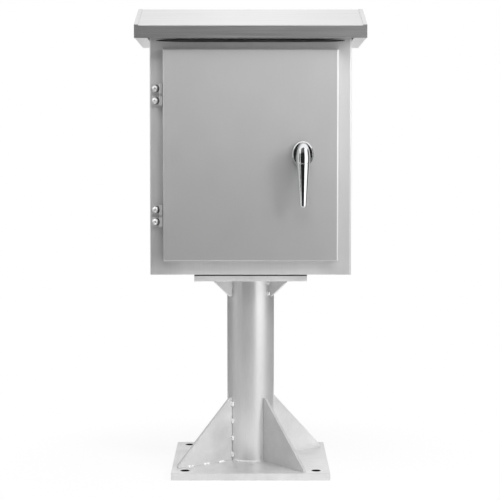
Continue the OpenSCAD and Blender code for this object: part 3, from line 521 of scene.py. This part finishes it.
def zinc():
    """Bright zinc plating: cool grey with a faint blue and straw passivation."""
    finish = Finish("zinc", metallic=0.95)
    tint = finish.noise(120, detail=3)
    blue, plain, straw = (0.60, 0.62, 0.66), (0.72, 0.73, 0.75), (0.76, 0.74, 0.68)
    finish.set("Base Color", finish.tones(tint, [(0.30, blue), (0.55, plain), (0.75, straw)]))
    finish.set("Roughness", finish.between(tint, 0.26, 0.38))
    finish.relief(finish.noise(1500, detail=2), 0.00002)
    return finish


def galvanised():
    """Galvanised sheet: crystal spangles that differ in tone and gloss."""
    finish = Finish("galvanised", metallic=0.9)
    cells = finish.node("ShaderNodeTexVoronoi", {"Vector": finish.place, "Scale": 90.0})
    tone = finish.axes(cells.outputs["Color"])["X"]
    finish.set("Base Color", finish.tones(tone, [(0.0, (0.56, 0.58, 0.60)), (1.0, (0.72, 0.73, 0.75))]))
    finish.set("Roughness", finish.between(tone, 0.34, 0.50, 0.0, 1.0))
    finish.relief(finish.noise(700, detail=3), 0.00002)
    return finish


def brass():
    """Turned brass with slightly browned patches."""
    finish = Finish("brass", metallic=1.0)
    browned = finish.noise(140, detail=3)
    finish.set("Base Color", finish.tones(browned, [(0.3, (0.62, 0.44, 0.18)), (0.7, (0.80, 0.62, 0.30))]))
    finish.set("Roughness", finish.between(browned, 0.34, 0.22))
    finish.relief(finish.noise(1800, detail=2), 0.00002)
    return finish


def rubber():
    """Matt black rubber with a fine grain and a dusty bloom."""
    finish = Finish("rubber", metallic=0.0)
    bloom = finish.noise(40, detail=4)
    finish.set("Base Color", finish.tones(bloom, [(0.3, grey(0.018)), (0.7, grey(0.040))]))
    finish.set("Roughness", finish.between(bloom, 0.55, 0.75))
    finish.relief(finish.noise(2200, detail=2), 0.00004)
    return finish


SLOT_FINISH = {
    "brushed_stainless": brushed_steel("cabinet_steel", 0.64, SHEET_GRAIN, 0.50, 0.70),
    "welded_stainless": plate_steel("gusset_steel", 0.73, 0.65, cut_edge=0.74),
    "chrome_plate": chrome(),
    # The hinge satin carries painted shade beside the bolt heads
    "hinge_steel": satin_steel("hinge_satin", 0.68, 0.45, 0.70, bolt_shade=True),
    "zinc_steel": zinc(),
    "galvanised_plate": galvanised(),
    "brass": brass(),
    "black_rubber": rubber(),
}
# A darker copy of the hinge satin for the door lugs: painted shade for the dark gap beside the hinges
SHADED_LUG_FINISH = satin_steel("shaded_lug_satin", 0.48, 0.50, 0.70)
NODE_FINISH = {
    "cabinet_shell": brushed_steel("shell_steel", 0.82, SHEET_GRAIN, 0.48, 0.70, grain=0.02, cloud=0.04,
                                   height_shade=(0.43, 0.85, 0.80, 1.08), border_light=1.40),
    "door_panel": brushed_steel("door_steel", 0.625, SHEET_GRAIN, 0.50, 0.70, grain=0.02, cloud=0.04,
                                bend_highlight=1.55, height_shade=(0.43, 0.85, 0.84, 1.10)),
    # The base plate's anchor hole walls carry painted shade
    "base_plate": plate_steel("base_plate_steel", 0.72, 0.65, holes=True),
    # Painted shade on the front right gusset and painted light on the rear right one: darker and lighter
    # copies of the gusset finish
    "base_gusset_front_right": plate_steel("shaded_gusset_steel", 0.65, 0.65, cut_edge=0.82),
    "base_gusset_rear_right": plate_steel("lit_gusset_steel", 0.83, 0.65, cut_edge=0.74),
    "top_plate": plate_steel("top_plate_steel", 0.84, 0.35, joint=True),
    "rain_hood": hood_steel(),
    "post": brushed_steel("post_steel", 0.84, POST_GRAIN, 0.34, 0.72, grain=0.04, cloud=0.06),
    "upper_door_lug": SHADED_LUG_FINISH,
    "lower_door_lug": SHADED_LUG_FINISH,
    "hinge_bolts": satin_steel("bolt_polish", 0.95, 0.16, 0.60),
}


def paint(piece, finish):
    """Gives every material slot of a piece the finish."""
    if not piece.material_slots:
        piece.data.materials.append(finish.material)
    for slot in piece.material_slots:
        slot.material = finish.material


for node_name, node_object in NODES.items():
    paint(node_object, NODE_FINISH.get(node_name, SLOT_FINISH[SLOT_OF[node_name]]))
bead_finish = weld_steel()
for piece in WELDS:
    paint(piece, bead_finish)
# The seal under the hood is black rubber, partly painted shade for the shadow under the hood
paint(HOOD_SEAL_AND_SHADE, SLOT_FINISH["black_rubber"])
paint(HOOD_HEM, NODE_FINISH["rain_hood"])


# Studio

FLOOR_Z = -0.0003
CARD_Z = 0.002
FRONT, REAR, SIDE = -2.2, 2.5, 2.75
LOW_FLAT, FLAT, HIGH_FLAT, TOP_FLAT = 0.55, 1.4, 1.7, 2.6


def seen_share(nodes):
    """1 for rays from the camera, a reflection or a transmission, 0 for light that falls on surfaces."""
    rays = nodes.node("ShaderNodeLightPath").outputs
    share = rays["Is Camera Ray"]
    for kind in ("Is Glossy Ray", "Is Transmission Ray"):
        share = nodes.math("MAXIMUM", share, rays[kind])
    return share


def white_world(ambient):
    """World that is seen as white, and lights surfaces at a lower, ambient level."""
    world = bpy.data.worlds.new("studio")
    nodes = Nodes(world)
    level = nodes.node("ShaderNodeMapRange", {"Value": seen_share(nodes), "To Min": ambient, "To Max": 1.0})
    background = nodes.tree.nodes["Background"]
    nodes.feed(background.inputs["Strength"], level.outputs["Result"])
    nodes.feed(background.inputs["Color"], (1, 1, 1, 1))
    bpy.context.scene.world = world


def flat_piece(name, corners):
    """A flat stage panel between four corners."""
    panel = mesh_object(name, corners, [(0, 1, 2, 3)])
    return panel


def stage_material(name):
    """A material without a shader, and its nodes."""
    material = bpy.data.materials.new(name)
    nodes = Nodes(material)
    nodes.tree.nodes.remove(nodes.tree.nodes["Principled BSDF"])
    return material, nodes


def white_floor(half, shadow_r):
    """Floor that is seen as white, with a share of its lit surface near the object, for the shadow.

    Under the base plate only the lit surface shows, so that no glow gets through the anchor holes.
    """
    floor = flat_piece("floor", [(-half, -half, FLOOR_Z), (half, -half, FLOOR_Z), (half, half, FLOOR_Z),
                                 (-half, half, FLOOR_Z)])
    material, nodes = stage_material("floor_white")
    place = nodes.node("ShaderNodeTexCoord").outputs["Object"]
    distance = nodes.vector_math("LENGTH", {0: place})["Value"]
    near = nodes.node("ShaderNodeMapRange", {
        "Value": distance, "From Min": shadow_r * 0.35, "From Max": shadow_r, "To Min": 0.90, "To Max": 1.0,
    }, interpolation_type="SMOOTHSTEP")
    seen = nodes.math("MULTIPLY", seen_share(nodes), near.outputs["Result"])
    apart = nodes.axes(nodes.vector_math("ABSOLUTE", {0: place})["Vector"])
    farther = nodes.math("MAXIMUM", apart["X"], apart["Y"])
    outside = nodes.math("GREATER_THAN", farther, PLATE_HALF - 0.002)
    shown = nodes.math("MULTIPLY", seen, outside)
    lit = nodes.node("ShaderNodeBsdfDiffuse", {"Color": (*grey(0.85), 1)}).outputs["BSDF"]
    glow = nodes.node("ShaderNodeEmission", {"Strength": 1.0}).outputs["Emission"]
    nodes.show(nodes.node("ShaderNodeMixShader", {"Fac": shown, 1: lit, 2: glow}).outputs["Shader"])
    floor.data.materials.append(material)


def grey_card(name, corners, level):
    """Studio flat that shows only in reflections, at one grey level."""
    card = flat_piece(name, corners)
    material, nodes = stage_material(name)
    nodes.show(nodes.node("ShaderNodeEmission", {"Color": (*grey(level), 1)}).outputs["Emission"])
    card.data.materials.append(material)
    card.visible_camera = False
    card.visible_diffuse = False
    card.visible_shadow = False


def upright_card(name, start, end, low, high, level):
    """Grey card that stands between two points of the floor, from one height to another."""
    (x0, y0), (x1, y1) = start, end
    grey_card(name, [(x0, y0, low), (x1, y1, low), (x1, y1, high), (x0, y0, high)], level)


def ground_card(name, near_left, far_right, level):
    """Grey card that lies just over the floor between two corners."""
    (x0, y0), (x1, y1) = near_left, far_right
    grey_card(name, [(x0, y0, CARD_Z), (x1, y0, CARD_Z), (x1, y1, CARD_Z), (x0, y1, CARD_Z)], level)


def softbox(name, at, target, width, height, watts):
    """Soft rectangular lamp aimed at a point; it lights surfaces, and the cards show in reflections."""
    lamp = bpy.data.lights.new(name, "AREA")
    lamp.shape = "RECTANGLE"
    lamp.size = width
    lamp.size_y = height
    lamp.energy = watts
    lamp_object = bpy.data.objects.new(name, lamp)
    bpy.context.collection.objects.link(lamp_object)
    lamp_object.location = at
    lamp_object.rotation_euler = direction_turn(at, target)
    lamp_object.visible_glossy = False


def direction_turn(at, target):
    """Turn about X, then Z, that points a lamp's -Z at the target."""
    dx, dy, dz = (t - a for t, a in zip(target, at))
    level = (dx * dx + dy * dy) ** 0.5
    return (np.arctan2(level, -dz), 0.0, np.arctan2(dy, dx) - pi / 2)


white_world(0.20)
white_floor(14.0, 0.6)
upright_card("front_flat", (-2.2, FRONT), (1.0, FRONT), 0.0, FLAT, 0.02)
upright_card("front_high_flat", (-2.2, FRONT), (1.0, FRONT), FLAT, TOP_FLAT, 0.14)
upright_card("left_front_flat", (-SIDE, FRONT), (-SIDE, -1.2), 0.0, FLAT, 0.04)
upright_card("left_flat", (-SIDE, -1.2), (-SIDE, 0.3), 0.0, HIGH_FLAT, 0.66)
upright_card("left_rear_flat", (-SIDE, 0.3), (-SIDE, REAR), 0.0, LOW_FLAT, 0.12)
upright_card("right_flat", (SIDE, -0.5), (SIDE, REAR), 0.0, HIGH_FLAT, 0.12)
upright_card("rear_left_flat", (-SIDE, REAR), (-0.4, REAR), 0.0, LOW_FLAT, 0.15)
upright_card("rear_right_flat", (0.4, REAR), (SIDE, REAR), 0.0, LOW_FLAT, 0.20)
ground_card("front_ground", (-2.0, FRONT), (2.0, -0.5), 0.24)
ground_card("left_ground", (-2.7, -0.5), (-0.4, REAR), 0.30)
ground_card("right_ground", (0.4, -0.5), (2.7, REAR), 0.18)
upright_card("key_card", (1.04, -2.3), (2.35, -1.25), 0.0, 2.1, 1.7)
softbox("key", (1.5, -1.15, 1.4), (0, 0, 0.7), 0.5, 1.0, 33)
softbox("fill", (0.1, -1.2, 2.0), (0, 0, 0.6), 1.2, 0.6, 22)
softbox("low_fill", (0.15, -1.7, 0.2), (0, -0.1, 0.42), 1.4, 0.3, 4.5)
softbox("top", (-0.3, -0.4, 2.6), (0, 0, 0.5), 1.6, 1.2, 18)

camera_data = bpy.data.cameras.new("camera")
camera_data.lens = CAMERA_LENS
camera_data.sensor_width = SENSOR_WIDTH
camera_data.shift_y = CAMERA_SHIFT
camera = bpy.data.objects.new("camera", camera_data)
camera.location = CAMERA_AT
camera.rotation_euler = (pi / 2 - CAMERA_DOWN, 0, 0)
bpy.context.collection.objects.link(camera)
bpy.context.scene.camera = camera
bpy.context.scene.view_settings.view_transform = "Standard"
